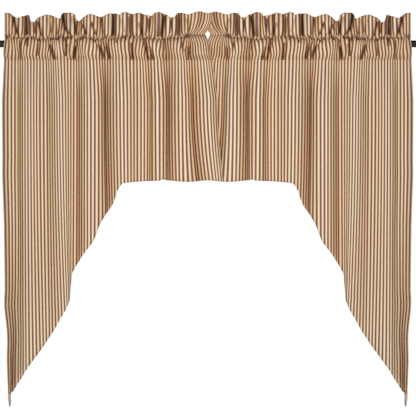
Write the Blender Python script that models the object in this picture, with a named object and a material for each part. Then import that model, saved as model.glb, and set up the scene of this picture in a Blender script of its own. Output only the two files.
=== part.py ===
"""Swag and tail drape on a rod: two gathered panels of ticking hung on one thin black rod.

Metres, +Z up. +X runs along the rod to the right, and the front faces -Y.
The origin is the middle of the rod, on its axis.
Each panel is one piece of cloth: a ruffled header, a rod pocket, and a shaped drop whose hem
runs level over the middle of the window and then slants down to a long outer tail.
"""

import math
from collections import namedtuple

import bmesh
import bpy

MM = 0.001

# Rod
ROD_DIAMETER = 16 * MM
ROD_LENGTH = 1010 * MM
ROD_SIDES = 40

# Cloth, and the heights of its two stitch lines above the rod's axis
CLOTH_THICKNESS = 1.5 * MM
HEADER_THICKNESS = 3.0 * MM
UPPER_STITCH_Z = 17 * MM
LOWER_STITCH_Z = -40 * MM
CHEST_Z = -130 * MM
STITCH_DEPTH = 3 * MM

# The pocket's walls where they lie on the rod, and how far its folds stand out from it
SEAT_GAP = 0.35 * MM
WALL_ON_ROD = ROD_DIAMETER / 2 + SEAT_GAP + CLOTH_THICKNESS / 2
FOLD_REACH = 0.4
DEEPEST_VALLEY = 13 * MM
BACK_FOLD_SHARE = 0.6

# At the middle the left panel laps in front of the right one
LAP_START = 549 * MM
LAP_FULL = 601 * MM
LAP_FORWARD = 3 * MM
LAP_BEHIND = 15 * MM
HEADER_LAP_SHARE = 0.6
WALL_LAP = 8 * MM
PINCH_AT_STITCH = 15 * MM
PINCH_AT_ROD_TOP = 8 * MM
BACK_WALL_STOP = 16 * MM

# Stations across the cloth stand between these distances of each other, along the flat cloth
NEAREST_STATIONS = 4.5 * MM
WIDEST_STATIONS = 12 * MM

# Shares of the drop at which the cloth below the pocket has a row of points
DROP_ROWS = (0.07, 0.17, 0.32, 0.5, 0.72, 1.0)
FOLD_SWING = 1.8

# Folds of the drop, from the outer side hem to the middle, for a left panel, in millimetres.
# flat: distance from the side hem along the flat cloth. pocket_x, chest_x, hem_x: place at the
# pocket, 130 mm below the rod, and at the hem. chest_y, hem_y: depth, minus is forward.
# hem_z: where the hem crosses the fold.
Fold = namedtuple("Fold", "flat pocket_x chest_x hem_x chest_y hem_y hem_z")
FOLDS = [
    Fold(0, -470, -476, -460, 0, 24, -843),
    Fold(15, -459, -461, -452, -4, 17, -807),
    Fold(38, -440, -440, -438, 0, 2, -784),
    Fold(71, -420, -419, -416, -10, -14, -746),
    Fold(107, -391, -392, -383, -7, -9, -699),
    Fold(131, -373, -369, -364, -6, -9, -671),
    Fold(176, -347, -340, -328, -16, -14, -612),
    Fold(217, -310, -311, -313, -3, 0, -541),
    Fold(230, -303, -300, -301, 1, 3, -503),
    Fold(267, -278, -274, -274, -13, -11, -466),
    Fold(281, -265, -260, -261, -12, -9, -449),
    Fold(311, -243, -239, -235, 10, 8, -393),
    Fold(365, -203, -198, -196, -15, -13, -325),
    Fold(398, -170, -169, -169, -4, -3, -318),
    Fold(414, -157, -154, -154, -6, -5, -317),
    Fold(438, -143, -134, -135, -1, 0, -317),
    Fold(463, -121, -116, -115, -16, -13, -316),
    Fold(493, -98, -92, -93, 6, 4, -313),
    Fold(537, -63, -60, -58, -20, -15, -318),
    Fold(569, -42, -37, -23, -4, 1, -318),
    Fold(613, -11, 2, 15, -20, -14, -314),
    Fold(641, 6, 22, 35, -8, -4, -317),
]

# Pleats of the header above the upper stitch line, in millimetres.
# flat as above, x and y: place and depth, top: height of the header's edge above the rod's axis.
Pleat = namedtuple("Pleat", "flat x y top")
PLEATS = [
    Pleat(0, -470, -4, 72),
    Pleat(29, -448, 1, 67),
    Pleat(41, -436, -4, 62),
    Pleat(62, -424, 9, 69),
    Pleat(82, -415, -4, 67),
    Pleat(91, -406, 4, 52),
    Pleat(127, -374, -6, 69),
    Pleat(148, -360, 4, 67),
    Pleat(165, -351, -3, 63),
    Pleat(177, -342, 5, 62),
    Pleat(183, -338, 6, 72),
    Pleat(194, -330, 1, 72),
    Pleat(209, -318, -7, 72),
    Pleat(222, -306, -2, 65),
    Pleat(234, -299, 7, 55),
    Pleat(271, -272, -6, 70),
    Pleat(297, -250, 3, 64),
    Pleat(327, -228, -6, 71),
    Pleat(338, -219, 7, 72),
    Pleat(354, -209, -3, 67),
    Pleat(375, -191, -6, 74),
    Pleat(389, -179, 4, 70),
    Pleat(405, -164, -5, 72),
    Pleat(418, -153, 3, 71),
    Pleat(435, -138, -3, 67),
    Pleat(447, -128, 3, 66),
    Pleat(465, -116, -6, 74),
    Pleat(480, -105, 8, 72),
    Pleat(500, -90, -3, 65),
    Pleat(521, -74, -1, 66),
    Pleat(538, -65, 8, 74),
    Pleat(562, -48, -4, 69),
    Pleat(583, -29, -6, 72),
    Pleat(598, -16, 2, 77),
    Pleat(615, -2, -6, 72),
    Pleat(641, 12, -2, 73),
]


def blend(start, end, share):
    return start + (end - start) * share


def ease(value, start, end):
    share = min(max((value - start) / (end - start), 0.0), 1.0)
    return share * share * (3 - 2 * share)


def material(name, colour, roughness, metallic=0.0):
    made = bpy.data.materials.new(name)
    made.use_nodes = True
    shader = made.node_tree.nodes["Principled BSDF"]
    shader.inputs["Base Color"].default_value = (*colour, 1.0)
    shader.inputs["Roughness"].default_value = roughness
    shader.inputs["Metallic"].default_value = metallic
    return made


def segment_of(rows, flat):
    """The two table rows around a place along the flat cloth, and how far it is between them."""
    for first, second in zip(rows, rows[1:]):
        if flat <= second.flat * MM:
            break
    share = (flat / MM - first.flat) / (second.flat - first.flat)
    return first, second, min(max(share, 0.0), 1.0)


def wave(length, start, end, share, steps=12):
    """A point (x, y) on the S-curve between two fold lines, at a share of its length.

    The cloth faces straight forward at each fold line and leans between them, more the more
    cloth there is for the distance."""
    points = []
    for step in range(steps + 1):
        s = step / steps
        rise = s * s * (3 - 2 * s)
        swing = length * s * (1 - s) * (1 - 2 * s)
        points.append((blend(start[0], end[0], rise) + swing, blend(start[1], end[1], rise)))
    pieces = [math.dist(a, b) for a, b in zip(points, points[1:])]
    left = share * sum(pieces)
    for (a, b), piece in zip(zip(points, points[1:]), pieces):
        if left <= piece:
            part = left / piece
            return blend(a[0], b[0], part), blend(a[1], b[1], part)
        left -= piece
    return points[-1]


def lap_of(flat):
    return ease(flat, LAP_START, LAP_FULL)


def pleat_point(flat):
    """Place and depth of the header, with the height of its top edge."""
    first, second, share = segment_of(PLEATS, flat)
    length = (second.flat - first.flat) * MM
    x, y = wave(
        length, (first.x * MM, first.y * MM), (second.x * MM, second.y * MM), share
    )
    return x, y, blend(first.top, second.top, share) * MM


def fold_point(flat, drop_share):
    """Place, depth and height of the cloth below the pocket.

    drop_share runs from 0 at the lower stitch line to 1 at the hem."""
    first, second, share = segment_of(FOLDS, flat)
    ends = []
    hem = blend(first.hem_z, second.hem_z, share) * MM
    z = blend(LOWER_STITCH_Z, hem, drop_share)
    for fold in (first, second):
        if z > CHEST_Z:
            down = (z - LOWER_STITCH_Z) / (CHEST_Z - LOWER_STITCH_Z)
            x = blend(fold.pocket_x, fold.chest_x, 0.3 + 0.7 * down)
            y = fold.chest_y * (0.45 + 0.55 * ease(down, 0, 1))
        else:
            down = (CHEST_Z - z) / (CHEST_Z - fold.hem_z * MM)
            x = blend(fold.chest_x, fold.hem_x, down**FOLD_SWING)
            y = blend(fold.chest_y, fold.hem_y, down**FOLD_SWING)
        ends.append((x * MM, y * MM))
    x, y = wave((second.flat - first.flat) * MM, ends[0], ends[1], share)
    return x, y, z


def pocket_point(flat):
    """Place of the cloth on the rod, and how far its fold stands out there."""
    first, second, share = segment_of(FOLDS, flat)
    ends = []
    for fold in (first, second):
        ends.append((fold.pocket_x * MM, FOLD_REACH * (fold.chest_y * MM - DEEPEST_VALLEY)))
    x, y = wave((second.flat - first.flat) * MM, ends[0], ends[1], share)
    return x, -y


def stations():
    """Places across the flat cloth: the tables' own rows, thinned where they crowd, and the
    points between them where they lie far apart."""
    places = sorted({row.flat * MM for row in FOLDS + PLEATS})
    kept = [places[0]]
    for place in places[1:-1]:
        if min(place - kept[-1], places[-1] - place) >= NEAREST_STATIONS:
            kept.append(place)
    kept.append(places[-1])
    filled = [kept[0]]
    for start, end in zip(kept, kept[1:]):
        parts = math.ceil((end - start) / WIDEST_STATIONS)
        filled += [blend(start, end, (i + 1) / parts) for i in range(parts)]
    return filled


def thicken(line, thickness):
    """The front and back edges of a row of (x, y, z) points, half a thickness to each side."""
    front, back = [], []
    for i, (x, y, z) in enumerate(line):
        before = line[max(i - 1, 0)]
        after = line[min(i + 1, len(line) - 1)]
        along = math.hypot(after[0] - before[0], after[1] - before[1])
        out_x = (after[1] - before[1]) / along * thickness / 2
        out_y = (after[0] - before[0]) / along * thickness / 2
        front.append((x + out_x, y - out_y, z))
        back.append((x - out_x, y + out_y, z))
    return front, back


def header_row(places, height_share, depth_share, lap):
    row = []
    for flat in places:
        x, y, top = pleat_point(flat)
        y = y * depth_share + HEADER_LAP_SHARE * lap * lap_of(flat)
        row.append((x, y, blend(UPPER_STITCH_Z, top, height_share)))
    return row


def stitch_row(places):
    """The upper stitch line, where the cloth is gathered tightest."""
    row = []
    for flat in places:
        pleat_x, pleat_y, _ = pleat_point(flat)
        pocket_x, _ = pocket_point(flat)
        x = blend(pleat_x, pocket_x, 0.5) - PINCH_AT_STITCH * lap_of(flat)
        row.append((x, 0.35 * pleat_y, UPPER_STITCH_Z))
    return row


def wall_rows(places, z, valley, swell, pinch, lap, shift=0.0):
    """The pocket's front and back walls at one height: their valleys stand at a distance from
    the rod's axis, and their folds swell out from there. Both walls shift by the last value
    near the middle, where the panels lap."""
    front, back = [], []
    for flat in places:
        x, fold = pocket_point(flat)
        near_middle = lap_of(flat)
        x -= pinch * near_middle
        if lap > 0:
            fold *= 1 - near_middle
        forward = min(lap, 0.0) * near_middle
        moved = shift * near_middle
        front.append((x, moved - valley - swell * fold + forward, z))
        stop = (BACK_WALL_STOP - pinch) * near_middle
        back.append((x - stop, moved + valley + swell * BACK_FOLD_SHARE * fold, z))
    return front, back


def drop_row(places, drop_share, lap):
    row = []
    for flat in places:
        x, y, z = fold_point(flat, drop_share)
        row.append((x, y + lap * lap_of(flat), z))
    return row


def panel_mesh(name, side, lap):
    """One panel as a closed mesh. side is 1 for the left panel and -1 for the right one.

    Each station across the cloth has one outline in the Y-Z plane: up the front from the hem,
    over the header and down the back, and a second one round the inside of the rod pocket."""
    places = stations()
    top = thicken(header_row(places, 1.0, 1.0, lap), HEADER_THICKNESS)
    brow = thicken(header_row(places, 0.5, 0.85, lap), HEADER_THICKNESS)
    upper = thicken(stitch_row(places), HEADER_THICKNESS)
    lower_line = drop_row(places, 0.0, lap)
    lower = thicken(lower_line, HEADER_THICKNESS)
    walls = [
        wall_rows(places, 9 * MM, WALL_ON_ROD - 1.4 * MM, 0.6, PINCH_AT_ROD_TOP, lap),
        wall_rows(places, -3 * MM, WALL_ON_ROD + 0.1 * MM, 1.0, 0.0, lap),
        wall_rows(places, -24 * MM, 5 * MM, 1.0, 0.0, lap, math.copysign(WALL_LAP, lap)),
    ]
    front_walls = [thicken(front, CLOTH_THICKNESS) for front, _ in walls]
    back_walls = [thicken(back, CLOTH_THICKNESS) for _, back in walls]
    drops = [thicken(drop_row(places, s, lap), CLOTH_THICKNESS) for s in DROP_ROWS]

    front_side = [top, brow, upper, *front_walls, lower, *drops]
    back_side = [top, brow, upper, *back_walls, lower, *drops]
    roof = [(x, y, z - STITCH_DEPTH) for x, y, z in stitch_row(places)]
    keel = [(x, y, z + STITCH_DEPTH) for x, y, z in lower_line]

    mesh = bmesh.new()

    def add(row):
        return [mesh.verts.new((side * x, y, z)) for x, y, z in row]

    front = [add(row[0]) for row in front_side]
    back = [add(row[1]) for row in back_side]
    roof = add(roof)
    keel = add(keel)
    inner_front = [add(row[1]) for row in front_walls]
    inner_back = [add(row[0]) for row in back_walls]

    def sheet(rows):
        for above, below in zip(rows, rows[1:]):
            for i in range(len(places) - 1):
                mesh.faces.new((above[i], above[i + 1], below[i + 1], below[i]))

    sheet(front)
    sheet(back)
    sheet([front[0], back[0]])
    sheet([front[-1], back[-1]])
    tunnel = [roof, *inner_front, keel, *reversed(inner_back), roof]
    sheet(tunnel)
    for end in (0, -1):
        for above in range(2):
            mesh.faces.new((
                front[above][end], front[above + 1][end],
                back[above + 1][end], back[above][end],
            ))
        mesh.faces.new((front[2][end], roof[end], back[2][end]))
        for outer, inner in ((front, inner_front), (back, inner_back)):
            inside = [roof, *inner, keel]
            outside = outer[2:7]
            for i in range(4):
                mesh.faces.new((
                    outside[i][end], outside[i + 1][end],
                    inside[i + 1][end], inside[i][end],
                ))
        mesh.faces.new((front[6][end], keel[end], back[6][end]))
        for above in range(6, len(front) - 1):
            mesh.faces.new((
                front[above][end], front[above + 1][end],
                back[above + 1][end], back[above][end],
            ))
    bmesh.ops.triangulate(mesh, faces=mesh.faces[:])
    bmesh.ops.recalc_face_normals(mesh, faces=mesh.faces[:])
    data = bpy.data.meshes.new(name)
    mesh.to_mesh(data)
    mesh.free()
    data.shade_smooth()
    data.set_sharp_from_angle(angle=math.radians(50))
    return data


def make_panel(name, side, lap, cloth):
    panel = bpy.data.objects.new(name, panel_mesh(name, side, lap))
    panel.data.materials.append(cloth)
    bpy.context.scene.collection.objects.link(panel)
    return panel


def make_rod(metal):
    bpy.ops.mesh.primitive_cylinder_add(
        vertices=ROD_SIDES, radius=ROD_DIAMETER / 2, depth=ROD_LENGTH
    )
    rod = bpy.context.active_object
    rod.name = "rod"
    rod.data.name = "rod"
    rod.rotation_euler = (0, math.radians(90), 0)
    rod.data.shade_smooth()
    rod.data.set_sharp_from_angle(angle=math.radians(40))
    rod.data.materials.append(metal)
    return rod


def main():
    for old in list(bpy.data.objects):
        bpy.data.objects.remove(old)
    black_metal = material("black metal", (0.012, 0.012, 0.013), 0.42, 1.0)
    ticking = material("ticking", (0.56, 0.38, 0.24), 0.9)
    make_rod(black_metal)
    make_panel("left_panel", 1, -LAP_FORWARD, ticking)
    make_panel("right_panel", -1, LAP_BEHIND, ticking)


main()
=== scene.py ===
"""Swag and tail drape: two gathered panels of striped ticking on one thin black rod.

Metres, +Z up. +X runs along the rod to the right, the front faces -Y, and the origin is the
middle of the rod, on its axis.
"""

import math
from collections import namedtuple

import bmesh
import bpy
import numpy as np
from mathutils import Matrix, Vector


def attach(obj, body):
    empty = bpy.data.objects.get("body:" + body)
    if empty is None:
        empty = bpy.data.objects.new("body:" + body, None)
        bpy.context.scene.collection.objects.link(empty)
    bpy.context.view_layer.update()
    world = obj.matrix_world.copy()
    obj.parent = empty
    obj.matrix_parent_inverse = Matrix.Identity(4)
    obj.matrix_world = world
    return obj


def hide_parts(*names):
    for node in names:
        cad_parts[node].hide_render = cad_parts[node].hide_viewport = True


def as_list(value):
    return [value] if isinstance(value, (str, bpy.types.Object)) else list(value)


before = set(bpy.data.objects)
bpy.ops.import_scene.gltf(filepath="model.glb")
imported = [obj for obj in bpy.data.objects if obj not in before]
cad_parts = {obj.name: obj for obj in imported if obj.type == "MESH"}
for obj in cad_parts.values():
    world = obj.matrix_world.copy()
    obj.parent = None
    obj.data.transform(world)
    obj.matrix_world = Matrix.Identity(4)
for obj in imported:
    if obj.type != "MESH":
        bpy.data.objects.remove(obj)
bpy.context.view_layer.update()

MM = 0.001


# The rod is a straight steel tube, 16 mm across, lacquered satin black. It passes through the
# pockets of both panels and rests on brackets outside the drape. The lacquer shows a soft grey
# highlight along its front and a very fine orange peel.
ROD_BLACK = (0.010, 0.010, 0.011, 1.0)
ROD_WORN = (0.022, 0.021, 0.020, 1.0)
ROD_GLOSS_LOW, ROD_GLOSS_HIGH = 0.42, 0.55
ORANGE_PEEL = 900.0


def add_node(material, kind, values=(), **settings):
    """A shader node with its settings and the values of its numbered or named inputs."""
    node = material.node_tree.nodes.new("ShaderNode" + kind)
    for name, value in settings.items():
        setattr(node, name, value)
    for key, value in dict(values).items():
        node.inputs[key].default_value = value
    return node


def wire(material, out_socket, in_socket):
    material.node_tree.links.new(out_socket, in_socket)


def satin_black():
    lacquer = bpy.data.materials.new("satin_black_lacquer")
    lacquer.use_nodes = True
    shader = lacquer.node_tree.nodes["Principled BSDF"]
    shader.inputs["Metallic"].default_value = 0.0
    shader.inputs["Specular IOR Level"].default_value = 0.22
    shader.inputs["Coat Weight"].default_value = 0.04
    shader.inputs["Coat Roughness"].default_value = 0.30
    place = add_node(lacquer, "TexCoord")
    peel = add_node(lacquer, "TexNoise", {"Scale": ORANGE_PEEL, "Detail": 2.0})
    handling = add_node(lacquer, "TexNoise", {"Scale": 14.0, "Detail": 4.0, "Roughness": 0.65})
    wire(lacquer, place.outputs["Object"], peel.inputs["Vector"])
    wire(lacquer, place.outputs["Object"], handling.inputs["Vector"])
    gloss = add_node(
        lacquer, "MapRange", {"To Min": ROD_GLOSS_LOW, "To Max": ROD_GLOSS_HIGH}
    )
    wire(lacquer, handling.outputs["Fac"], gloss.inputs["Value"])
    wire(lacquer, gloss.outputs["Result"], shader.inputs["Roughness"])
    tint = add_node(lacquer, "ValToRGB")
    tint.color_ramp.elements[0].position = 0.45
    tint.color_ramp.elements[0].color = ROD_BLACK
    tint.color_ramp.elements[1].position = 0.80
    tint.color_ramp.elements[1].color = ROD_WORN
    wire(lacquer, handling.outputs["Fac"], tint.inputs["Fac"])
    wire(lacquer, tint.outputs["Color"], shader.inputs["Base Color"])
    bump = add_node(lacquer, "Bump", {"Strength": 0.12, "Distance": 0.0001})
    wire(lacquer, peel.outputs["Fac"], bump.inputs["Height"])
    wire(lacquer, bump.outputs["Normal"], shader.inputs["Normal"])
    return lacquer


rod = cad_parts["rod"]
rod.data.materials.clear()
rod.data.materials.append(satin_black())


# The left panel is one length of yarn-dyed cotton ticking. Its top is turned down and sewn
# along two lines, which make the ruffled header and the pocket that the rod gathers it on.
# Below, it hangs in soft folds, straight across the window and then down to a long outer tail.
CLOTH = 0.9 * MM
STRIPE = 8.9 * MM
CREAM = (0.715, 0.62, 0.395, 1.0)
CREAM_PALE = (0.78, 0.71, 0.52, 1.0)
PLUM = (0.232, 0.111, 0.114, 1.0)
PLUM_DEEP = (0.157, 0.071, 0.078, 1.0)
UNDYED = (0.58, 0.47, 0.41, 1.0)
# The tail's tip is paler cloth that turns darker towards its very end.
TIP_END_COLOUR = (0.20, 0.18, 0.17, 1.0)
# Painted shade: the stripes are multiplied by these colours on the sides of folds, in fold valleys
# and in narrow slits.
PAINTED_SLOPE_SHADE = (0.93, 0.80, 0.67, 1.0)
PAINTED_VALLEY_SHADE = (0.70, 0.485, 0.35, 1.0)
PAINTED_SLIT_SHADE = (0.20, 0.10, 0.055, 1.0)
TIP_TOP, TIP_END = -811 * MM, -838 * MM
TIP_NECK = 4 * MM
YARN = 0.55 * MM

UPPER_STITCH = 17 * MM
LOWER_STITCH = -40 * MM
CHEST = -130 * MM
FOLD_SWING = 1.8
VALLEY_SHARPNESS = 1.8
STEEPEST = 0.97

ROD_RADIUS = 8 * MM
WALL = ROD_RADIUS + 1.1 * MM
ROD_CLEAR = WALL - 0.3 * MM
OVER_ROD, AT_ROD, UNDER_ROD = WALL - 1.4 * MM, WALL + 0.1 * MM, 5 * MM
STITCH_BACK = 2.0 * MM
FOLD_REACH = 0.4
DEEPEST_VALLEY = 13 * MM
BACK_FOLD_SHARE = 0.6

LAP_START, LAP_FULL = 549 * MM, 601 * MM
LEFT_LAP, RIGHT_LAP = -3 * MM, 15 * MM
HEADER_LAP_SHARE = 0.6
WALL_LAP = 8 * MM
PINCH_AT_STITCH = 15 * MM
PINCH_AT_ROD_TOP, PINCH_AT_ROD, PINCH_BELOW_ROD = 8 * MM, 3 * MM, 1 * MM
STITCH_RISE = 6 * MM
BACK_WALL_STOP = 16 * MM

POCKET_WANDER = 1.8 * MM
PUCKER_LINE = 15 * MM
PUCKER_HEIGHT, PUCKER_DEPTH, PUCKER_SWAY = 5 * MM, 2.2 * MM, 2.4 * MM
SEWN_DEPTH, SEWN_WIDTH, POCKET_SWELL = 1.4 * MM, 2.4 * MM, 1.6 * MM

# Folds of the drop from the outer side hem to the middle, in millimetres. flat: distance from
# the side hem along the flat cloth. The rest is the place (x) and depth (y, minus is forward)
# at the pocket, 130 mm below the rod and at the hem, and the height of the hem there.
Fold = namedtuple("Fold", "flat pocket_x chest_x hem_x chest_y hem_y hem_z")
FOLDS = [
    Fold(0, -470, -476, -460, 0, 24, -843),
    Fold(15, -459, -461, -452, -4, 17, -807),
    Fold(38, -440, -440, -438, 0, -5, -784),
    Fold(71, -420, -419, -416, -10, -14, -746),
    Fold(107, -391, -392, -383, -7, -9, -699),
    Fold(131, -373, -369, -364, -6, -9, -671),
    Fold(176, -347, -340, -328, -16, -14, -612),
    Fold(217, -310, -311, -313, -3, 0, -541),
    Fold(230, -303, -300, -301, 1, 3, -503),
    Fold(267, -278, -274, -274, -13, -11, -466),
    Fold(281, -265, -260, -261, -12, -9, -449),
    Fold(311, -243, -239, -235, 10, 8, -393),
    Fold(365, -203, -198, -196, -15, -13, -325),
    Fold(398, -170, -169, -169, -4, -3, -318),
    Fold(414, -157, -154, -154, -6, -5, -317),
    Fold(438, -143, -134, -135, -1, 0, -317),
    Fold(463, -121, -116, -115, -16, -13, -316),
    Fold(493, -98, -92, -93, 6, 4, -313),
    Fold(537, -63, -60, -58, -20, -15, -318),
    Fold(569, -42, -37, -23, -4, 1, -318),
    Fold(613, -11, 2, 15, -20, -14, -314),
    Fold(641, 6, 22, 35, -9, -10, -317),
]

# Pleats of the header above the upper stitch line, in millimetres: place and depth, and the
# height of the header's edge above the rod's axis.
Pleat = namedtuple("Pleat", "flat x y top")
PLEATS = [
    Pleat(0, -470, -4, 72),
    Pleat(29, -448, 1, 67),
    Pleat(41, -436, -4, 62),
    Pleat(62, -424, 9, 69),
    Pleat(82, -415, -4, 67),
    Pleat(91, -406, 4, 52),
    Pleat(127, -374, -6, 69),
    Pleat(148, -360, 4, 67),
    Pleat(165, -351, -3, 63),
    Pleat(177, -342, 5, 62),
    Pleat(183, -338, 6, 72),
    Pleat(194, -330, 1, 72),
    Pleat(209, -318, -7, 72),
    Pleat(222, -306, -2, 65),
    Pleat(234, -299, 7, 55),
    Pleat(271, -272, -6, 70),
    Pleat(297, -250, 3, 64),
    Pleat(327, -228, -6, 71),
    Pleat(338, -219, 7, 72),
    Pleat(354, -209, -3, 67),
    Pleat(375, -191, -6, 74),
    Pleat(389, -179, 4, 70),
    Pleat(405, -164, -5, 72),
    Pleat(418, -153, 3, 71),
    Pleat(435, -138, -3, 67),
    Pleat(447, -128, 3, 66),
    Pleat(465, -116, -6, 74),
    Pleat(480, -105, 8, 72),
    Pleat(500, -90, -3, 65),
    Pleat(521, -74, -1, 66),
    Pleat(538, -65, 8, 74),
    Pleat(562, -48, -4, 69),
    Pleat(583, -29, -6, 72),
    Pleat(598, -16, -2, 77),
    Pleat(615, -2, -6, 72),
    Pleat(641, 12, -2, 73),
]

# Height of the header's edge above the rod's axis, along the rod, in millimetres.
EdgePoint = namedtuple("EdgePoint", "x top")
EDGE = [
    EdgePoint(-470, 71), EdgePoint(-459, 71), EdgePoint(-452, 66), EdgePoint(-443, 59),
    EdgePoint(-436, 60), EdgePoint(-424, 66), EdgePoint(-415, 67), EdgePoint(-412.5, 65),
    EdgePoint(-410.5, 51), EdgePoint(-401, 50), EdgePoint(-394, 59), EdgePoint(-382, 64),
    EdgePoint(-375, 67), EdgePoint(-364, 66), EdgePoint(-357, 64), EdgePoint(-345, 58),
    EdgePoint(-341, 60), EdgePoint(-339, 69), EdgePoint(-336, 72), EdgePoint(-313, 71),
    EdgePoint(-306, 65), EdgePoint(-304, 54), EdgePoint(-297, 52), EdgePoint(-287, 61),
    EdgePoint(-276, 68), EdgePoint(-267, 68), EdgePoint(-260, 65), EdgePoint(-250, 62),
    EdgePoint(-241, 63), EdgePoint(-236, 66), EdgePoint(-227, 70), EdgePoint(-213, 70),
    EdgePoint(-202, 66), EdgePoint(-200, 71), EdgePoint(-190, 73), EdgePoint(-180, 70),
    EdgePoint(-172, 68), EdgePoint(-160, 72), EdgePoint(-151, 69), EdgePoint(-142, 66),
    EdgePoint(-128, 64), EdgePoint(-125, 71), EdgePoint(-112, 73), EdgePoint(-104, 70),
    EdgePoint(-93, 66), EdgePoint(-88, 61), EdgePoint(-76, 61), EdgePoint(-73, 67),
    EdgePoint(-70, 72), EdgePoint(-61, 72), EdgePoint(-51, 69), EdgePoint(-44, 67),
    EdgePoint(-38, 69), EdgePoint(-26, 73), EdgePoint(-17, 75), EdgePoint(-10, 72),
    EdgePoint(0, 70), EdgePoint(12, 73),
]

# Height of the hem, along the rod, and how far the outer side edge sways off its straight line
# with the height, in millimetres.
HemPoint = namedtuple("HemPoint", "x z")
HEM_LINE = [
    HemPoint(-460, -843), HemPoint(-456.5, -838), HemPoint(-453.5, -812), HemPoint(-445, -797),
    HemPoint(-431, -775), HemPoint(-417, -751), HemPoint(-396, -722), HemPoint(-382, -703),
    HemPoint(-369, -684), HemPoint(-355, -662), HemPoint(-341, -636), HemPoint(-327, -614),
    HemPoint(-319, -594), HemPoint(-314.5, -532), HemPoint(-306, -516), HemPoint(-292, -493),
    HemPoint(-278, -475), HemPoint(-264, -457), HemPoint(-257, -438), HemPoint(-250, -418),
    HemPoint(-237, -395), HemPoint(-223, -377), HemPoint(-216, -362), HemPoint(-209, -341),
    HemPoint(-203, -331), HemPoint(-197, -323), HemPoint(-174, -320), HemPoint(-146, -318),
    HemPoint(-111, -317), HemPoint(-107, -314), HemPoint(-91, -316), HemPoint(-63, -319),
    HemPoint(-42, -320), HemPoint(-7, -316), HemPoint(6, -316), HemPoint(35, -319),
]
Sway = namedtuple("Sway", "z x")
EDGE_SWAY = [
    Sway(-843, -1), Sway(-821, -3.5), Sway(-800, -2.7), Sway(-740, -2.7), Sway(-710, -1.2),
    Sway(-685, 0.7), Sway(-655, 0), Sway(-625, -2.8), Sway(-600, -4.3), Sway(-575, -1.5),
    Sway(-520, -0.3), Sway(-420, 0.8), Sway(-350, 0), Sway(-300, -1), Sway(-260, 0),
]
EDGE_SWAY_SPAN = 75 * MM

# Creases of a left panel's front, each a soft trough (depth above 0) or ridge (below 0) from
# one end to the other, in millimetres: the header's slits, the puckers along both stitch
# lines, and the slanting creases between them over the rod.
Crease = namedtuple("Crease", "x z to_x to_z width depth")
HEADER_CREASES = [
    Crease(-455, 72, -437, 12, 3.4, 10),
    Crease(-421, 68, -420, 20, 5.6, 19),
    Crease(-424, 34, -416, 14, 3.4, 11),
    Crease(-403, 50, -400, 24, 3.4, 6),
    Crease(-393, 52, -386, 20, 3.2, 11),
    Crease(-366, 62, -364, 26, 3.0, 5),
    Crease(-352, 62, -350, 20, 3.4, 9),
    Crease(-338, 74, -331, 34, 4.2, 16),
    Crease(-331, 40, -316, 8, 3.4, 12),
    Crease(-311, 64, -304, 20, 4.0, 14),
    Crease(-290, 46, -279, 14, 3.2, 9),
    Crease(-271, 52, -260, 24, 2.8, 8),
    Crease(-246, 62, -243, 20, 3.2, 8),
    Crease(-219, 70, -219, 14, 4.0, 21),
    Crease(-198, 60, -196, 24, 2.8, 6),
    Crease(-181, 64, -180, 18, 3.2, 12),
    Crease(-158, 50, -146, 0, 3.2, 11),
    Crease(-137, 62, -136, 22, 3.2, 8),
    Crease(-122, 72, -122, 16, 3.4, 12),
    Crease(-100, 66, -109, 20, 4.4, 20),
    Crease(-86, 60, -82, 22, 3.0, 8),
    Crease(-68, 73, -69, 14, 4.2, 18),
    Crease(-47, 62, -44, 20, 3.2, 8),
    Crease(-13, 58, -25, 20, 2.4, 8),
    Crease(-4, 60, -18, 26, 2.2, 6),
]
POCKET_CREASES = [
    Crease(-434, 10, -434, -38, 3.0, 6),
    Crease(-418, 20, -417, -8, 3.0, 8),
    Crease(-402, 22, -388, 8, 2.6, 6),
    Crease(-392, 6, -394, -30, 3.0, 5),
    Crease(-371, 22, -360, 10, 2.6, 7),
    Crease(-356, 22, -346, 8, 2.6, 7),
    Crease(-366, -2, -354, -38, 4.0, 13),
    Crease(-332, 16, -325, -8, 2.8, 6),
    Crease(-327, 0, -328, -30, 3.2, 10),
    Crease(-303, 12, -311, -38, 3.4, 13),
    Crease(-302, 20, -290, 8, 2.4, 6),
    Crease(-271, 20, -260, 6, 2.6, 7),
    Crease(-253, 0, -240, -34, 3.4, 13),
    Crease(-237, 2, -227, -36, 3.6, 13),
    Crease(-205, 20, -212, 2, 2.4, 6),
    Crease(-197, 20, -188, 6, 2.4, 6),
    Crease(-176, 2, -174, -38, 3.0, 10),
    Crease(-148, 12, -136, -38, 3.4, 11),
    Crease(-136, -6, -126, -38, 3.2, 11),
    Crease(-102, 16, -101, -14, 2.8, 7),
    Crease(-100, 22, -90, 6, 2.6, 7),
    Crease(-62, 10, -56, -20, 2.8, 7),
    Crease(-44, -6, -45, -38, 3.2, 10),
    Crease(-31, 14, -27, -28, 2.6, 7),
]


def blend(start, end, share):
    return start + (end - start) * share


def ease(value, start, end):
    share = np.clip((value - start) / (end - start), 0.0, 1.0)
    return share * share * (3 - 2 * share)


def columns(rows):
    """The columns of a table, in metres."""
    return [np.array(column, float) * MM for column in zip(*rows)]


def between(flats, places):
    """For each place along the flat cloth, the row before it and its share of the way on."""
    row = np.clip(np.searchsorted(flats, places, side="left") - 1, 0, len(flats) - 2)
    return row, np.clip((places - flats[row]) / (flats[row + 1] - flats[row]), 0.0, 1.0)


def turn(before, after):
    """How steeply the cloth arrives at a fold line and leaves it, as sines: level on a crest,
    steep in a valley, even on a slope."""
    same_way = before * after > 0
    even = np.where(same_way, 2 * before * after / np.where(same_way, before + after, 1.0), 0.0)
    valley = np.clip((before - after) / (np.abs(before) + np.abs(after) + 1e-9), 0.0, 1.0)
    return [
        np.clip(blend(even, VALLEY_SHARPNESS * lean, valley), -STEEPEST, STEEPEST)
        for lean in (before, after)
    ]


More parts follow.
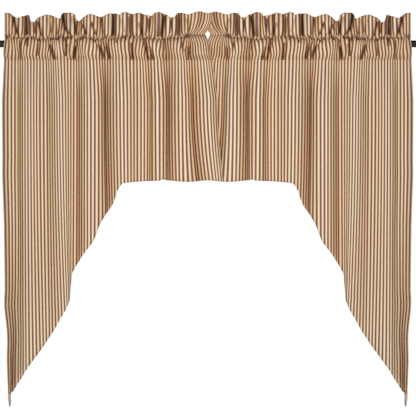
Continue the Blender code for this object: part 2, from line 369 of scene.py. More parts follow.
def through(flats, flat, place_of, steps=24):
    """Points at places along the flat cloth, on a smooth curve through the fold lines.

    The curve is round over the crests and sharp in the valleys. place_of gives the place and
    depth of numbered fold lines."""
    row, share = between(flats, flat)
    before, after = np.maximum(row - 1, 0), np.minimum(row + 2, len(flats) - 1)
    (x0, y0), (x1, y1) = place_of(row), place_of(row + 1)
    length = flats[row + 1] - flats[row]
    lean = (y1 - y0) / length
    gap_before = np.where(before < row, flats[row] - flats[before], 1.0)
    gap_after = np.where(after > row + 1, flats[after] - flats[row + 1], 1.0)
    lean_before = np.where(before < row, (y0 - place_of(before)[1]) / gap_before, lean)
    lean_after = np.where(after > row + 1, (place_of(after)[1] - y1) / gap_after, lean)
    leave, arrive = turn(lean_before, lean)[1], turn(lean, lean_after)[0]

    s = np.linspace(0.0, 1.0, steps + 1)
    near, far = (1 + 2 * s) * (1 - s) ** 2, (3 - 2 * s) * s**2
    out, into = s * (1 - s) ** 2, (s - 1) * s**2
    size = length[:, None]
    ways = []
    for a, b, a_way, b_way in (
        (x0, x1, np.sqrt(1 - leave**2), np.sqrt(1 - arrive**2)),
        (y0, y1, leave, arrive),
    ):
        ways.append(
            near * a[:, None] + far * b[:, None]
            + size * (out * a_way[:, None] + into * b_way[:, None])
        )
    xs, ys = ways
    arc = np.cumsum(np.hypot(np.diff(xs), np.diff(ys)), axis=1)
    arc = np.concatenate([np.zeros((len(arc), 1)), arc], axis=1)
    target = share * arc[:, -1]
    reached = np.clip((arc < target[:, None]).sum(axis=1), 1, steps)
    pick = np.arange(len(arc))
    part = (target - arc[pick, reached - 1]) / (arc[pick, reached] - arc[pick, reached - 1])
    x = blend(xs[pick, reached - 1], xs[pick, reached], part)
    y = blend(ys[pick, reached - 1], ys[pick, reached], part)
    return x, y


def lap_of(flat):
    """How far the cloth at this place belongs to the lap at the middle, from 0 to 1."""
    return ease(flat, LAP_START, LAP_FULL)


def header_top(flat):
    edge_x, edge_top = columns(EDGE)
    return np.interp(pleat_xy(flat)[0], edge_x, edge_top)


def hem_height(flat):
    fold = columns(FOLDS)
    hem_x, _ = through(fold[0], flat, lambda row: (fold[3][row], fold[5][row]))
    line_x, line_z = columns(HEM_LINE)
    return np.interp(hem_x, line_x, line_z)


def pleat_xy(flat):
    flats, xs, ys, _ = columns(PLEATS)
    return through(flats, flat, lambda row: (xs[row], ys[row]))


def pocket_xy(flat):
    """Place of the cloth on the rod, and how far its fold stands out there."""
    flats, pocket_x, _, _, chest_y, _, _ = columns(FOLDS)
    stand = FOLD_REACH * (chest_y - DEEPEST_VALLEY)
    x, y = through(flats, flat, lambda row: (pocket_x[row], stand[row]))
    return x, -y


def drop_xy(flat, z, lap):
    """Place and depth of the cloth below the pocket."""
    flats, pocket_x, chest_x, hem_x, chest_y, hem_y, hem_z = columns(FOLDS)
    upper = np.clip((z - LOWER_STITCH) / (CHEST - LOWER_STITCH), 0.0, 1.0)

    def place_of(fold):
        lower = np.clip((CHEST - z) / (CHEST - hem_z[fold]), 0.0, 1.2) ** FOLD_SWING
        high_x = blend(pocket_x[fold], chest_x[fold], 0.3 + 0.7 * upper)
        high_y = chest_y[fold] * (0.45 + 0.55 * ease(upper, 0.0, 1.0))
        low_x = blend(chest_x[fold], hem_x[fold], lower)
        neck = TIP_NECK * np.exp(-(((z - TIP_TOP) / TIP_NECK) ** 2))
        low_x = low_x - np.where(fold == 1, neck, 0)
        low_y = blend(chest_y[fold], hem_y[fold], lower)
        return np.where(z > CHEST, high_x, low_x), np.where(z > CHEST, high_y, low_y)

    x, y = through(flats, flat, place_of)
    sway_z, sway_x = columns(EDGE_SWAY)
    x = x + np.interp(z, sway_z, sway_x) * (1 - ease(flat, 0.0, EDGE_SWAY_SPAN))
    return x, y + lap * lap_of(flat)


def creased(x, z, creases, near_middle):
    """How far the creases push the cloth back at these places of the front."""
    depth = np.zeros_like(x)
    for crease in creases:
        start = np.array([crease.x, crease.z]) * MM
        run = np.array([crease.to_x, crease.to_z]) * MM - start
        along = ((x - start[0]) * run[0] + (z - start[1]) * run[1]) / run.dot(run)
        held = np.clip(along, 0.0, 1.0)
        away = np.hypot(x - start[0] - held * run[0], z - start[1] - held * run[1])
        taper = np.sqrt(np.clip(1 - (2 * held - 1) ** 4, 0.0, 1.0))
        depth += crease.depth * MM * taper * np.exp(-((away / (crease.width * MM)) ** 2))
    return depth * (1 - near_middle)


def puckered(flat, z):
    """How far the gathers shift the cloth sideways and back, close to the upper stitch line."""
    near = np.exp(-(((z - PUCKER_LINE) / PUCKER_HEIGHT) ** 2)) * (1 - lap_of(flat))
    ripple = flat / (2.0 * MM) + 2.6 * np.sin(flat / (31 * MM)) + 1.7 * np.sin(flat / (13 * MM))
    sway = flat / (8.3 * MM) + 1.9 * np.sin(flat / (23 * MM))
    back = PUCKER_DEPTH * np.sin(ripple + (z - PUCKER_LINE) / (3.0 * MM))
    return PUCKER_SWAY * np.sin(sway) * near, back * near


def sewn_in(z):
    """How far the lower row of stitches pulls the front of the cloth back, and how far the
    pocket swells just above it."""
    pulled = SEWN_DEPTH * np.exp(-(((z - LOWER_STITCH) / SEWN_WIDTH) ** 2))
    swell = POCKET_SWELL * np.exp(-(((z - LOWER_STITCH - 14 * MM) / (8 * MM)) ** 2))
    return pulled - swell


def risen(flat, z):
    """The upper row of stitches wanders up and down, and sits highest at the middle."""
    wander = 2.0 * MM * np.sin(flat / (27 * MM)) + 1.2 * MM * np.sin(flat / (9.7 * MM)) - 1 * MM
    height = blend(wander, STITCH_RISE, lap_of(flat))
    return height * np.exp(-(((z - UPPER_STITCH) / (15 * MM)) ** 2))


def header_xy(flat, z, lap):
    """Place and depth of the header's middle layer."""
    pleat_x, pleat_y = pleat_xy(flat)
    pocket_x, _ = pocket_xy(flat)
    near_middle = lap_of(flat)
    stitch_x = blend(pleat_x, pocket_x, 0.5) - PINCH_AT_STITCH * near_middle
    up = (z - UPPER_STITCH) / (header_top(flat) - UPPER_STITCH)
    x = blend(stitch_x, pleat_x, 1 - (1 - np.clip(up, 0.0, 1.0)) ** 2)
    y = pleat_y * blend(0.35, 1.0, ease(up, 0.0, 0.6))
    y += HEADER_LAP_SHARE * lap * near_middle * ease(up, 0.0, 0.5)
    y += creased(x, z, HEADER_CREASES, near_middle) * ease(up, -0.1, 0.25)
    sideways, back = puckered(flat, z)
    return x + sideways, y + back


WALL_HEIGHTS = (
    50 * MM, UPPER_STITCH, 9 * MM, -3 * MM, -24 * MM, LOWER_STITCH, -56 * MM
)


def walls_xy(flat, z, lap, front):
    """Place and depth of the pocket's front or back wall, on one smooth curve through its
    heights: the stitch lines, above the rod, on it and below it."""
    x, fold = pocket_xy(flat)
    near_middle = lap_of(flat)
    if lap > 0:
        fold = fold * (1 - near_middle)
    forward = min(lap, 0.0) * near_middle
    heights = WALL_HEIGHTS
    rows = [header_xy(flat, np.full_like(flat, heights[0]), lap),
            header_xy(flat, np.full_like(flat, heights[1]), lap)]
    for valley, swell, pinch, shift in (
        (OVER_ROD, 0.6, PINCH_AT_ROD_TOP, 0.0),
        (AT_ROD, 1.0, PINCH_AT_ROD, 0.0),
        (UNDER_ROD, 1.0, PINCH_BELOW_ROD, math.copysign(WALL_LAP, lap)),
    ):
        moved = shift * near_middle
        if front:
            wall_x = x - pinch * near_middle
            wall_y = moved - valley - swell * fold + forward
        else:
            wall_x = x - BACK_WALL_STOP * near_middle
            wall_y = moved + valley + swell * BACK_FOLD_SHARE * fold
        rows.append((wall_x, wall_y))
    rows += [drop_xy(flat, np.full_like(flat, h), lap) for h in heights[5:]]
    out_x, out_y = np.zeros_like(flat), np.zeros_like(flat)
    for k in range(1, len(heights) - 2):
        top, low = heights[k], heights[k + 1]
        inside = (z <= top) & (z >= low)
        t = (z - top) / (low - top)
        for out, axis in ((out_x, 0), (out_y, 1)):
            a, b = rows[k][axis], rows[k + 1][axis]
            slope_a = (b - rows[k - 1][axis]) / (low - heights[k - 1]) * (low - top)
            slope_b = (rows[k + 2][axis] - a) / (heights[k + 2] - top) * (low - top)
            curve = (
                (2 * t**3 - 3 * t**2 + 1) * a + (t**3 - 2 * t**2 + t) * slope_a
                + (3 * t**2 - 2 * t**3) * b + (t**3 - t**2) * slope_b
            )
            out[inside] = curve[inside]
    if front:
        sideways, back = puckered(flat, z)
        low = ease(z, UPPER_STITCH, 6 * MM)
        wander = np.sin(flat / (15 * MM) + 2 * np.sin(flat / (37 * MM)) + z / (12 * MM))
        held = ease(z, LOWER_STITCH, LOWER_STITCH + 14 * MM) * (1 - near_middle)
        out_x = out_x + sideways * low + POCKET_WANDER * wander * held
        out_y = out_y + back * low + sewn_in(z)
        out_y = out_y + creased(out_x, z, POCKET_CREASES, near_middle)
        out_y = out_y + creased(out_x, z, HEADER_CREASES, near_middle) * ease(z, 0.0, UPPER_STITCH)
        above_rod = z + risen(flat, z)
        clear = np.sqrt(np.clip(ROD_CLEAR**2 - above_rod**2, 0.0, None))
        out_y = np.minimum(out_y, np.where(np.abs(above_rod) < WALL, -clear, STITCH_BACK))
    return out_x, out_y


def front_xy(flat, z, lap):
    x, y = drop_xy(flat, z, lap)
    y = y + np.where(z > LOWER_STITCH - 10 * MM, sewn_in(z), 0.0)
    wall_x, wall_y = walls_xy(flat, z, lap, True)
    head_x, head_y = header_xy(flat, z, lap)
    above_low, above_up = z > LOWER_STITCH, z > UPPER_STITCH
    x = np.where(above_up, head_x, np.where(above_low, wall_x, x))
    y = np.where(above_up, head_y, np.where(above_low, wall_y, y))
    return x, y


def back_xy(flat, z, lap):
    x, y = walls_xy(flat, z, lap, False)
    head_x, head_y = header_xy(flat, z, lap)
    above = z > UPPER_STITCH
    return np.where(above, head_x, x), np.where(above, head_y, y)


def lifted(place_xy, flat, z, lap, lift):
    """Points of a layer, moved off it by a distance, towards the wrong side where it is above
    0. The direction is square to the cloth."""
    x, y = place_xy(flat, z, lap)
    step = 0.4 * MM
    before = place_xy(np.clip(flat - step, 0.0, WIDE), z, lap)
    after = place_xy(np.clip(flat + step, 0.0, WIDE), z, lap)
    across_x, across_y = after[0] - before[0], after[1] - before[1]
    size = np.hypot(across_x, across_y)
    return np.stack([x - across_y / size * lift, y + across_x / size * lift, z], axis=-1)


WIDE = FOLDS[-1].flat * MM
COLUMNS = 370
DROP_ROWS, POCKET_ROWS, HEADER_ROWS = 52, 30, 22
BACK_ROWS = 10
HEADER_GAP = 1.0 * MM


def cloth_rows():
    """The rows of a panel's grid, from the hem up the front, over the header and down the back
    to the pocket's sewn edge: the layer, and how far up it this row lies, from 0 to 1."""
    rows = [("drop", 1 - t**1.4) for t in np.linspace(1.0, 0.0, DROP_ROWS)]
    rows += [("front wall", t) for t in np.linspace(0.0, 1.0, POCKET_ROWS)[1:]]
    rows += [("front header", t**1.25) for t in np.linspace(0.0, 1.0, HEADER_ROWS)[1:]]
    rows += [("back header", t) for t in np.linspace(1.0, 0.0, BACK_ROWS)]
    rows += [("back wall", t) for t in np.linspace(1.0, 0.0, BACK_ROWS)[1:]]
    return rows


def cloth_point(layer, up, flat, lap):
    """Points of one row of a panel, and their places along the thread."""
    hem, top = hem_height(flat), header_top(flat)
    if layer == "drop":
        z = blend(hem, LOWER_STITCH, up)
        return lifted(front_xy, flat, z, lap, 0.0), z
    if layer.endswith("wall"):
        z = np.full_like(flat, blend(LOWER_STITCH, UPPER_STITCH, up))
        apart = HEADER_GAP * up
    else:
        z = blend(UPPER_STITCH, top, up)
        apart = HEADER_GAP * math.sqrt(1 - max(0.0, up - 0.94) / 0.075)
    if layer.startswith("front"):
        points, along = lifted(front_xy, flat, z, lap, -apart), z
    else:
        apart = max(apart, HEADER_GAP) if layer == "back wall" else apart
        points, along = lifted(back_xy, flat, z, lap, apart), 2 * top - z
    points[:, 2] += risen(flat, z)
    return points, along


# Painted shade: the deeper the cloth lies in a fold, the darker and warmer its colour is painted.
FOLD_SPAN, CREASE_SPAN = 20 * MM, 5 * MM
DEEP_GATHER, DEEP_FOLD = 12 * MM, 30 * MM
DROP_PAINTED_SHADE, GATHER_PAINTED_SHADE, TAIL_LESS_SHADE = 0.26, 0.52, 0.12
TAIL_FROM, TAIL_TO = 500 * MM, 700 * MM
STEEP_LIMIT, STEEP_SHADE_SHARE, OUTWARD_SHADE_SHARE = 0.8, 0.30, 0.38
SLIT_START, SLIT_DEEP = 0.5 * MM, 3.0 * MM


def hollow(depths, step, span):
    """How far each point of a row lies behind the cloth around it, in metres."""
    taps = int(3 * span / step)
    weights = np.exp(-0.5 * (np.arange(-taps, taps + 1) * step / span) ** 2)
    weights /= weights.sum()
    padded = np.pad(depths, ((0, 0), (taps, taps)), mode="edge")
    width = depths.shape[1]
    return depths - sum(w * padded[:, k:k + width] for k, w in enumerate(weights))


def fold_shade_amount(depths, heights, step):
    """How much painted shade the cloth gets, from 0 on the crests to 0.5 in a fold's valley and 1
    in a narrow slit. The gathers above the lower stitch line get more painted shade than the
    drop, and the sides of a fold get more the steeper they are, most where they face outwards,
    away from the key light in the middle."""
    fold_depth = np.where(heights > LOWER_STITCH, DEEP_GATHER, DEEP_FOLD)
    gathered = ease(heights, LOWER_STITCH - 6 * MM, LOWER_STITCH + 8 * MM)
    base_shade = blend(DROP_PAINTED_SHADE, GATHER_PAINTED_SHADE, gathered)
    base_shade -= TAIL_LESS_SHADE * ease(-heights, TAIL_FROM, TAIL_TO)
    slope = np.clip(np.gradient(depths, step, axis=1), -STEEP_LIMIT, STEEP_LIMIT)
    steep = STEEP_SHADE_SHARE * np.abs(slope) + OUTWARD_SHADE_SHARE * np.clip(-slope, 0.0, None)
    fold_shade = hollow(depths, step, FOLD_SPAN) / fold_depth + base_shade + steep
    slit = np.clip((hollow(depths, step, CREASE_SPAN) - SLIT_START) / SLIT_DEEP, 0.0, 1.0)
    return 0.5 * np.clip(fold_shade, 0.0, 1.0) + 0.5 * slit


def grid_sheet(name, rows, places, point_of, side, paint_shade=True):
    """A sheet from a flat grid, each row moved to its place on the panel. The UV map "thread"
    holds the distance across and along the flat cloth, in metres. A vertex attribute holds the
    painted shade of each point, from how deep in its folds the cloth lies; it stays 0 where no
    shade is painted."""
    mesh = bmesh.new()
    bmesh.ops.create_grid(
        mesh, x_segments=len(places) - 1, y_segments=len(rows) - 1, size=0.5
    )
    painted_shade_layer = mesh.verts.layers.float.new("painted_shade")
    order = sorted(mesh.verts, key=lambda v: (round(v.co.y, 5), round(v.co.x, 5)))
    lines = [point_of(row, places) for row in rows]
    painted_shade = np.zeros((len(rows), len(places)))
    # Painted fold shade, kept in a vertex attribute for the material.
    if paint_shade:
        grid = np.array([points for points, _ in lines])
        painted_shade = fold_shade_amount(grid[:, :, 1], grid[:, :, 2], places[1] - places[0])
    thread = {}
    for r, (points, along) in enumerate(lines):
        for c in range(len(places)):
            vertex = order[r * len(places) + c]
            thread[vertex] = (places[c], along[c])
            x, y, z = points[c]
            vertex.co = (side * x, y, z)
            vertex[painted_shade_layer] = painted_shade[r, c]
    uv = mesh.loops.layers.uv.new("thread")
    for face in mesh.faces:
        face.smooth = True
        for loop in face.loops:
            loop[uv].uv = thread[loop.vert]
    if side < 0:
        bmesh.ops.reverse_faces(mesh, faces=mesh.faces[:])
    data = bpy.data.meshes.new(name)
    mesh.to_mesh(data)
    mesh.free()
    piece = bpy.data.objects.new(name, data)
    bpy.context.scene.collection.objects.link(piece)
    return piece


def give_thickness(piece, thickness):
    solid = piece.modifiers.new("thickness", "SOLIDIFY")
    solid.thickness = thickness
    solid.offset = 0.0
    solid.use_rim = True


def woven_ticking():
    cloth = bpy.data.materials.new("striped_ticking")
    cloth.use_nodes = True
    shader = cloth.node_tree.nodes["Principled BSDF"]
    shader.inputs["Roughness"].default_value = 0.95
    shader.inputs["Specular IOR Level"].default_value = 0.02
    shader.inputs["Sheen Weight"].default_value = 0.05
    shader.inputs["Sheen Roughness"].default_value = 0.6
    shader.inputs["Sheen Tint"].default_value = (0.85, 0.55, 0.35, 1.0)
    thread = add_node(cloth, "UVMap", uv_map="thread")
    split = add_node(cloth, "SeparateXYZ")
    wire(cloth, thread.outputs["UV"], split.inputs["Vector"])

    uneven_place = add_node(cloth, "Mapping", {"Scale": (300.0, 60.0, 1.0)})
    uneven = add_node(cloth, "TexNoise", {"Scale": 1.0, "Detail": 2.0})
    wire(cloth, thread.outputs["UV"], uneven_place.inputs["Vector"])
    wire(cloth, uneven_place.outputs["Vector"], uneven.inputs["Vector"])
    count = add_node(cloth, "Math", {1: STRIPE}, operation="DIVIDE")
    wire(cloth, split.outputs["X"], count.inputs[0])
    waver = add_node(cloth, "Math", {1: 0.05}, operation="MULTIPLY_ADD")
    wire(cloth, uneven.outputs["Fac"], waver.inputs[0])
    wire(cloth, count.outputs[0], waver.inputs[2])
    centred = add_node(cloth, "Math", {1: 0.025}, operation="SUBTRACT")
    wire(cloth, waver.outputs[0], centred.inputs[0])
    inside = add_node(cloth, "Math", {1: 0.5}, operation="PINGPONG")
    wire(cloth, centred.outputs[0], inside.inputs[0])
    stripe = add_node(
        cloth, "MapRange", {"From Min": 0.17, "From Max": 0.33}, interpolation_type="SMOOTHSTEP"
    )
    wire(cloth, inside.outputs[0], stripe.inputs["Value"])

    slub_place = add_node(cloth, "Mapping", {"Scale": (900.0, 35.0, 1.0)})
    slub = add_node(cloth, "TexNoise", {"Scale": 1.0, "Detail": 3.0, "Roughness": 0.6})
    wire(cloth, thread.outputs["UV"], slub_place.inputs["Vector"])
    wire(cloth, slub_place.outputs["Vector"], slub.inputs["Vector"])
    dye_place = add_node(cloth, "Mapping", {"Scale": (90.0, 4.0, 1.0)})
    dye = add_node(cloth, "TexNoise", {"Scale": 1.0, "Detail": 2.0})
    wire(cloth, thread.outputs["UV"], dye_place.inputs["Vector"])
    wire(cloth, dye_place.outputs["Vector"], dye.inputs["Vector"])
    cream = add_node(cloth, "Mix", data_type="RGBA")
    cream.inputs["A"].default_value = CREAM
    cream.inputs["B"].default_value = CREAM_PALE
    plum = add_node(cloth, "Mix", data_type="RGBA")
    plum.inputs["A"].default_value = PLUM_DEEP
    plum.inputs["B"].default_value = PLUM
    wire(cloth, dye.outputs["Fac"], cream.inputs["Factor"])
    wire(cloth, slub.outputs["Fac"], plum.inputs["Factor"])
    striped = add_node(cloth, "Mix", data_type="RGBA")
    wire(cloth, stripe.outputs["Result"], striped.inputs["Factor"])
    wire(cloth, cream.outputs["Result"], striped.inputs["A"])
    wire(cloth, plum.outputs["Result"], striped.inputs["B"])

    # Painted shade: the stripes darken and warm towards the fold shade colours by the painted
    # shade each vertex holds.
    painted_shade = add_node(cloth, "Attribute", attribute_name="painted_shade")
    painted_shade_ramp = add_node(cloth, "ValToRGB")
    painted_shade_ramp.color_ramp.elements[0].color = (1.0, 1.0, 1.0, 1.0)
    painted_shade_ramp.color_ramp.elements[1].color = PAINTED_SLIT_SHADE
    painted_shade_ramp.color_ramp.elements.new(0.22).color = PAINTED_SLOPE_SHADE
    painted_shade_ramp.color_ramp.elements.new(0.5).color = PAINTED_VALLEY_SHADE
    wire(cloth, painted_shade.outputs["Fac"], painted_shade_ramp.inputs["Fac"])
    stripes_with_shade = add_node(cloth, "Mix", {"Factor": 1.0}, data_type="RGBA", blend_type="MULTIPLY")
    wire(cloth, striped.outputs["Result"], stripes_with_shade.inputs["A"])
    wire(cloth, painted_shade_ramp.outputs["Color"], stripes_with_shade.inputs["B"])

    place = add_node(cloth, "TexCoord")
    height = add_node(cloth, "SeparateXYZ")
    wire(cloth, place.outputs["Object"], height.inputs["Vector"])
    tip = add_node(cloth, "MapRange", {"From Min": TIP_TOP, "From Max": TIP_TOP - 4 * MM})
    wire(cloth, height.outputs["Z"], tip.inputs["Value"])
    tip_end = add_node(cloth, "MapRange", {"From Min": TIP_END + 22 * MM, "From Max": TIP_END})
    wire(cloth, height.outputs["Z"], tip_end.inputs["Value"])
    leaf = add_node(cloth, "Mix", data_type="RGBA")
    leaf.inputs["A"].default_value = UNDYED
    leaf.inputs["B"].default_value = TIP_END_COLOUR
    wire(cloth, tip_end.outputs["Result"], leaf.inputs["Factor"])
    tipped = add_node(cloth, "Mix", data_type="RGBA")
    wire(cloth, leaf.outputs["Result"], tipped.inputs["B"])
    wire(cloth, tip.outputs["Result"], tipped.inputs["Factor"])
    wire(cloth, stripes_with_shade.outputs["Result"], tipped.inputs["A"])
    wire(cloth, tipped.outputs["Result"], shader.inputs["Base Color"])

    warp = add_node(cloth, "Math", {1: 2 * math.pi / YARN}, operation="MULTIPLY")
    weft = add_node(cloth, "Math", {1: 2 * math.pi / (1.15 * YARN)}, operation="MULTIPLY")
    wire(cloth, split.outputs["X"], warp.inputs[0])
    wire(cloth, split.outputs["Y"], weft.inputs[0])
    over = add_node(cloth, "Math", operation="SINE")
    under = add_node(cloth, "Math", operation="SINE")
    wire(cloth, warp.outputs[0], over.inputs[0])
    wire(cloth, weft.outputs[0], under.inputs[0])
    crossing = add_node(cloth, "Math", operation="MULTIPLY")
    wire(cloth, over.outputs[0], crossing.inputs[0])
    wire(cloth, under.outputs[0], crossing.inputs[1])
    bump = add_node(cloth, "Bump", {"Strength": 0.25, "Distance": 0.00012})
    wire(cloth, crossing.outputs[0], bump.inputs["Height"])
    wire(cloth, bump.outputs["Normal"], shader.inputs["Normal"])
    return cloth


def make_panel(name, node, side, lap, cloth):
    places = np.linspace(0.0, WIDE, COLUMNS + 1)
    panel = grid_sheet(
        name, cloth_rows(), places, lambda row, flat: cloth_point(*row, flat, lap), side
    )
    panel.data.materials.append(cloth)
    give_thickness(panel, CLOTH)
    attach(panel, "root")
    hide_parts(node)
    return panel


HEM = 12 * MM
BOTTOM_HEM, SIDE_HEM_STOP = 1.4 * HEM, 1.7 * HEM
HEM_INSET, SIDE_INSET = 1.0 * MM, 0.6 * MM
HEM_LIFT = CLOTH + 0.25 * MM


def make_hems(name, side, lap, cloth):
    """The turned hems on the wrong side, along the bottom and down both side edges."""
    def along_bottom(height, flat):
        z = hem_height(flat) + HEM_INSET + height
        return lifted(front_xy, flat, z, lap, HEM_LIFT), z

    def down_side(place, drop):
        flat = np.full_like(drop, place)
        z = blend(hem_height(flat) + SIDE_HEM_STOP, LOWER_STITCH - 2 * MM, drop)
        return lifted(front_xy, flat, z, lap, HEM_LIFT), z

    hems = [
        grid_sheet(
            name + "_bottom_hem", np.linspace(0.0, BOTTOM_HEM, 5),
            np.linspace(0.0, WIDE, COLUMNS // 2 + 1), along_bottom, side, paint_shade=False,
        )
    ]
    for edge, start, end in (("outer", SIDE_INSET, HEM), ("inner", WIDE - HEM, WIDE - SIDE_INSET)):
        hems.append(side_hem(f"{name}_{edge}_hem", np.linspace(start, end, 5), down_side, side))
    for hem in hems:
        hem.data.materials.append(cloth)
        give_thickness(hem, CLOTH)
        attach(hem, "root")
    return hems


def side_hem(name, places, down_side, side):
    """A strip whose rows run down the drop, so its grid is turned for the UV map."""
    drop = np.linspace(0.0, 1.0, 50)
    columns_of = [down_side(place, drop) for place in places]

    def point_of(row, flat):
        points = np.array([column[0][row] for column in columns_of])
        along = np.array([column[1][row] for column in columns_of])
        return points, along

    return grid_sheet(name, range(len(drop)), places, point_of, side, paint_shade=False)


THREAD_CREAM = (0.78, 0.66, 0.46, 1.0)
STITCH_PITCH = 3.4 * MM
STITCH_RUN = 16
STITCH_LONG, STITCH_THICK = 2.7 * MM, 0.42 * MM


def sewing_thread():
    thread = bpy.data.materials.new("sewing_thread")
    thread.use_nodes = True
    shader = thread.node_tree.nodes["Principled BSDF"]
    shader.inputs["Roughness"].default_value = 0.7
    place = add_node(thread, "TexCoord")
    fibre = add_node(thread, "TexNoise", {"Scale": 2500.0, "Detail": 2.0})
    wire(thread, place.outputs["Object"], fibre.inputs["Vector"])
    tint = add_node(thread, "Mix", data_type="RGBA")
    tint.inputs["A"].default_value = THREAD_CREAM
    tint.inputs["B"].default_value = UNDYED
    wire(thread, fibre.outputs["Fac"], tint.inputs["Factor"])
    wire(thread, tint.outputs["Result"], shader.inputs["Base Color"])
    bump = add_node(thread, "Bump", {"Strength": 0.3, "Distance": 0.0001})
    wire(thread, fibre.outputs["Fac"], bump.inputs["Height"])
    wire(thread, bump.outputs["Normal"], shader.inputs["Normal"])
    return thread


def make_stitches(name, side, lap, thread):
    """Both sewn lines of a panel, as single stitches lying on its front and on its back."""
    flat = np.arange(0.5 * STITCH_PITCH, WIDE - 0.5 * STITCH_PITCH, STITCH_PITCH)
    reach = CLOTH / 2 + 0.3 * STITCH_THICK
    mesh = bmesh.new()
    for z, place_xy, lift in (
        (UPPER_STITCH, front_xy, -HEADER_GAP - reach),
        (UPPER_STITCH, back_xy, HEADER_GAP + reach),
        (LOWER_STITCH, front_xy, -reach),
        (LOWER_STITCH, back_xy, HEADER_GAP + reach),
    ):
        heights = np.full_like(flat, z)
        middle = lifted(place_xy, flat, heights, lap, lift)
        middle[:, 2] += risen(flat, heights)
        ahead = lifted(place_xy, flat + STITCH_LONG / 3, heights, lap, lift)
        for first in range(0, len(flat), STITCH_RUN):
            run = bmesh.new()
            for here, there in zip(middle[first:first + STITCH_RUN], ahead[first:]):
                way = Vector((side * (there[0] - here[0]), there[1] - here[1], 0.0))
                shape = (
                    Matrix.Translation((side * here[0], here[1], here[2]))
                    @ way.to_track_quat("X", "Z").to_matrix().to_4x4()
                    @ Matrix.Diagonal((STITCH_LONG, STITCH_THICK, STITCH_THICK, 1.0))
                )
                bmesh.ops.create_uvsphere(
                    run, u_segments=6, v_segments=4, radius=0.5, matrix=shape
                )
            part = bpy.data.meshes.new("run")
            run.to_mesh(part)
            run.free()
            mesh.from_mesh(part)
            bpy.data.meshes.remove(part)
    for face in mesh.faces:
        face.smooth = True
    data = bpy.data.meshes.new(name)
    mesh.to_mesh(data)
    mesh.free()
    stitches = bpy.data.objects.new(name, data)
    bpy.context.scene.collection.objects.link(stitches)
    stitches.data.materials.append(thread)
    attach(stitches, "root")
    return stitches


ticking = woven_ticking()
cream_thread = sewing_thread()
left_cloth = make_panel("left_cloth", "left_panel", 1, LEFT_LAP, ticking)
left_trim = make_hems("left", 1, LEFT_LAP, ticking)
left_trim.append(make_stitches("left_stitches", 1, LEFT_LAP, cream_thread))


# The right panel is a second, mirrored length of the same ticking. At the middle it passes
# behind the left one.
right_cloth = make_panel("right_cloth", "right_panel", -1, RIGHT_LAP, ticking)
right_trim = make_hems("right", -1, RIGHT_LAP, ticking)
right_trim.append(make_stitches("right_stitches", -1, RIGHT_LAP, cream_thread))


# Laid flat, each panel is as wide as its stripes count out. Its length is the pocket's front,
# the header up and down again, the pocket's back wall and the tail below the pocket. The hem
# slants and the header is wavy, so the cloth covers less than that oblong.
flats = np.linspace(0.0, WIDE, 2001)
drop_long = LOWER_STITCH - hem_height(flats)
folded_long = 2 * (header_top(flats) - LOWER_STITCH)
for panel, trim in ((left_cloth, left_trim), (right_cloth, right_trim)):
    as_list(trim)


# The studio is a pale floor below the drape, a white surround, a soft key light in front, just
# below the rod, and a second soft light behind, which only the back faces.
FLOOR_Z = -1.06
VIEW_DISTANCE = 5.0
VIEW_WIDTH = 0.963
VIEW_CENTRE = (0.0007, -0.380)


def pale_floor():
    paint = bpy.data.materials.new("pale_floor")
    paint.use_nodes = True
    shader = paint.node_tree.nodes["Principled BSDF"]
    shader.inputs["Roughness"].default_value = 0.8
    place = add_node(paint, "TexCoord")
    grain = add_node(paint, "TexNoise", {"Scale": 30.0, "Detail": 4.0})
    wire(paint, place.outputs["Object"], grain.inputs["Vector"])
    tint = add_node(paint, "ValToRGB")
    tint.color_ramp.elements[0].color = (0.80, 0.80, 0.79, 1.0)
    tint.color_ramp.elements[1].color = (0.86, 0.86, 0.85, 1.0)
    wire(paint, grain.outputs["Fac"], tint.inputs["Fac"])
    wire(paint, tint.outputs["Color"], shader.inputs["Base Color"])
    return paint


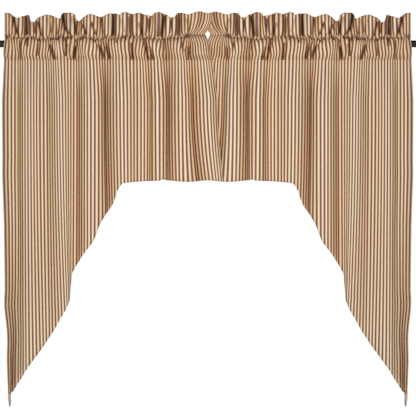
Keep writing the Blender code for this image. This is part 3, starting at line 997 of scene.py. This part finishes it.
def make_floor():
    mesh = bmesh.new()
    bmesh.ops.create_circle(mesh, cap_ends=True, segments=96, radius=1.1)
    bmesh.ops.translate(mesh, verts=mesh.verts[:], vec=(0.0, 0.0, FLOOR_Z))
    data = bpy.data.meshes.new("floor")
    mesh.to_mesh(data)
    mesh.free()
    floor = bpy.data.objects.new("floor", data)
    floor.data.materials.append(pale_floor())
    bpy.context.scene.collection.objects.link(floor)


def soft_light(name, place, aim, width, height, power, colour):
    lamp = bpy.data.lights.new(name, "AREA")
    lamp.shape = "RECTANGLE"
    lamp.size, lamp.size_y = width, height
    lamp.energy = power
    lamp.color = colour
    light = bpy.data.objects.new(name, lamp)
    light.location = place
    light.rotation_euler = (Vector(aim) - Vector(place)).to_track_quat("-Z", "Y").to_euler()
    light.visible_camera = False
    bpy.context.scene.collection.objects.link(light)


def make_surround(seen, cast):
    """A white surround that looks white to the camera and lights the drape a little less."""
    world = bpy.data.worlds.new("studio")
    world.use_nodes = True
    tree = world.node_tree
    background = tree.nodes["Background"]
    background.inputs["Color"].default_value = (1.0, 1.0, 1.0, 1.0)
    rays = tree.nodes.new("ShaderNodeLightPath")
    strength = tree.nodes.new("ShaderNodeMapRange")
    strength.inputs["To Min"].default_value = cast
    strength.inputs["To Max"].default_value = seen
    tree.links.new(rays.outputs["Is Camera Ray"], strength.inputs["Value"])
    tree.links.new(strength.outputs["Result"], background.inputs["Strength"])
    bpy.context.scene.world = world


make_floor()
make_surround(1.0, 0.12)
soft_light("key", (0.0, -1.5, -0.10), (0.0, 0.0, -0.38), 1.2, 0.8, 28.0, (0.98, 0.96, 0.94))
soft_light("behind", (0.0, 1.6, 0.4), (0.0, 0.0, -0.4), 1.4, 0.9, 26.0, (1.0, 0.97, 0.94))

lens = bpy.data.cameras.new("camera")
lens.sensor_width = 36.0
lens.lens = 36.0 * VIEW_DISTANCE / VIEW_WIDTH
lens.clip_start, lens.clip_end = 0.1, 50.0
camera = bpy.data.objects.new("camera", lens)
camera.location = (VIEW_CENTRE[0], -VIEW_DISTANCE, VIEW_CENTRE[1])
camera.rotation_euler = (math.radians(90), 0.0, 0.0)
bpy.context.scene.collection.objects.link(camera)
bpy.context.scene.camera = camera
bpy.context.scene.view_settings.view_transform = "Standard"
